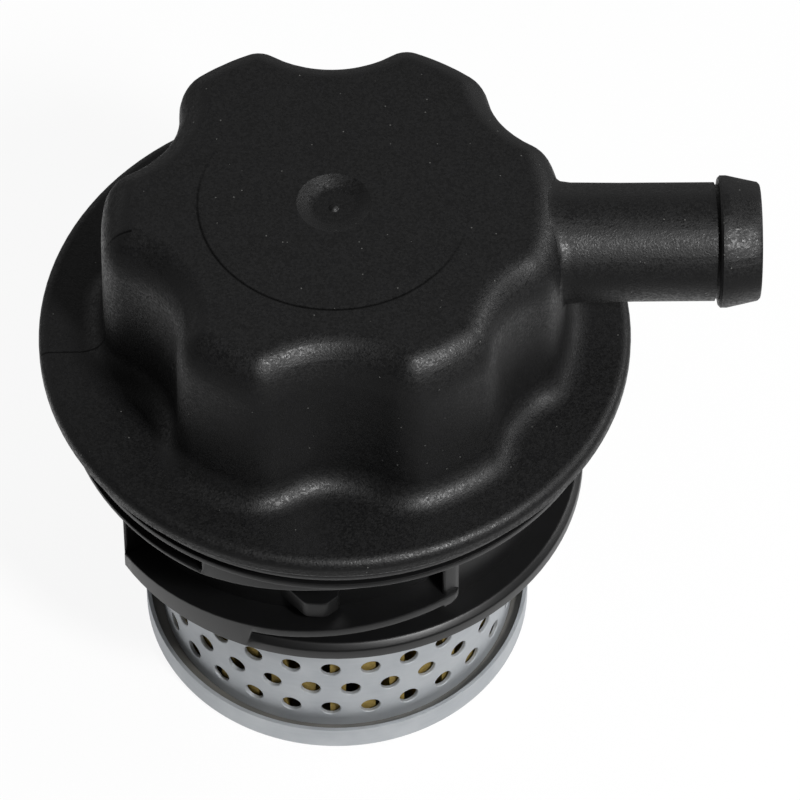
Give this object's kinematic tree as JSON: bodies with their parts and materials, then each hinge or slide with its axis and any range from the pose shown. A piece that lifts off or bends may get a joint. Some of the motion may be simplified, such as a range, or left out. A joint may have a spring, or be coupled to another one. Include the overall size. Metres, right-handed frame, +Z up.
{
  "type": "power steering reservoir cap",
  "caption": "Bayonet cap for a power steering reservoir: a lobed grip and flange with a side hose nipple, over a hanging pleated return filter with a sprung bypass valve.",
  "frame": {"origin": "on the cap's axis, at the upper face of the spigot ring that enters the reservoir's neck", "axes": "+Z up through the grip, +X out along the hose nipple, so -Z is the way the cap goes into the neck"},
  "size_m": [0.0964, 0.08, 0.0881],
  "materials": {
    "black_nylon": "glass-filled moulding with a faint grain, smoother on the collar",
    "seal_rubber": "satin",
    "zinc_steel": "zinc-plated sheet, lightly oiled",
    "spring_steel": "drawn wire",
    "filter_paper": "resin-treated paper",
    "end_glue": "cast resin"
  },
  "bodies": {
    "cap": {"cap_body": "black_nylon", "neck_seal_ring": "seal_rubber", "filter_carrier": "black_nylon", "carrier_o_ring": "seal_rubber", "retaining_ring": "spring_steel", "stem_grommet": "seal_rubber", "top_end_cap": "zinc_steel", "top_glue": "end_glue", "outer_tube": "zinc_steel", "pleated_media": "filter_paper", "inner_tube": "zinc_steel", "bottom_glue": "end_glue", "bottom_end_cap": "zinc_steel", "valve_guide": "zinc_steel", "valve_spring": "spring_steel"},
    "valve": {"valve_gasket": "seal_rubber", "valve_plate": "zinc_steel", "valve_stem": "zinc_steel", "spring_retainer": "zinc_steel"}
  },
  "joints": [
    {"name": "bypass_valve_slide", "type": "slide", "parent": "cap", "child": "valve", "axis": [0, 0, -1], "range_m": [0, 0.0025], "stiffness_N_per_m": 1070, "springref_m": -0.003, "deforming": ["valve_spring"]}
  ]
}
